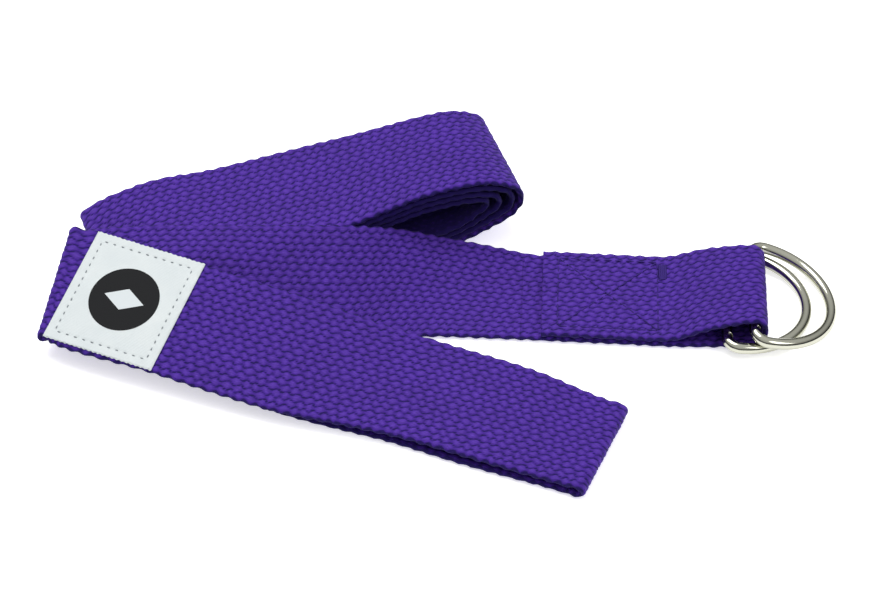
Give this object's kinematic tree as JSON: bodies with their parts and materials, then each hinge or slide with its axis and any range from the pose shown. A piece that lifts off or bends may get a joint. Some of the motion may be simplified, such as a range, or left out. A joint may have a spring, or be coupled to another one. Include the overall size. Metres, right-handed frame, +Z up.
{
  "type": "stretching strap",
  "caption": "flat woven strap folded for storage, with D-rings sewn into one end, a stitched label, and its spare length wound into a flat roll",
  "frame": {"origin": "on the floor, under the middle of the sewn tail's cut end; millimetres are taken from there", "axes": "+X along the middle arm towards the D-rings, +Y across it towards the wound arm, +Z up"},
  "size_m": [0.2362, 0.1496, 0.0255],
  "materials": {
    "webbing": "coarse woven, matt",
    "ring_metal": "polished nickel plate",
    "label_cloth": "fine twill, slight sheen",
    "label_thread": "sewing thread",
    "seam_thread": "sewing thread, tone on tone"
  },
  "bodies": {
    "strap": {"webbing_ring_loop": "webbing", "webbing_middle_arm": "webbing", "webbing_left_fold": "webbing", "webbing_lower_arm_top": "webbing", "webbing_right_fold": "webbing", "webbing_lower_arm_bottom": "webbing", "webbing_under_fold": "webbing", "webbing_roll": "webbing", "label": "label_cloth", "label_stitching": "label_thread", "box_stitching": "seam_thread", "bar_tack": "seam_thread"},
    "upper_ring": {"upper_d_ring": "ring_metal"},
    "lower_ring": {"lower_d_ring": "ring_metal"}
  },
  "joints": [
    {"name": "upper_ring_hinge", "type": "hinge", "parent": "strap", "child": "upper_ring", "pos_m": [0.0631, 0, 0.0072], "axis": [0, -1, 0], "range_deg": [0, 150]},
    {"name": "lower_ring_hinge", "type": "hinge", "parent": "strap", "child": "lower_ring", "pos_m": [0.0551, 0, 0.0039], "axis": [0, -1, 0], "range_deg": [-125, 0]}
  ]
}
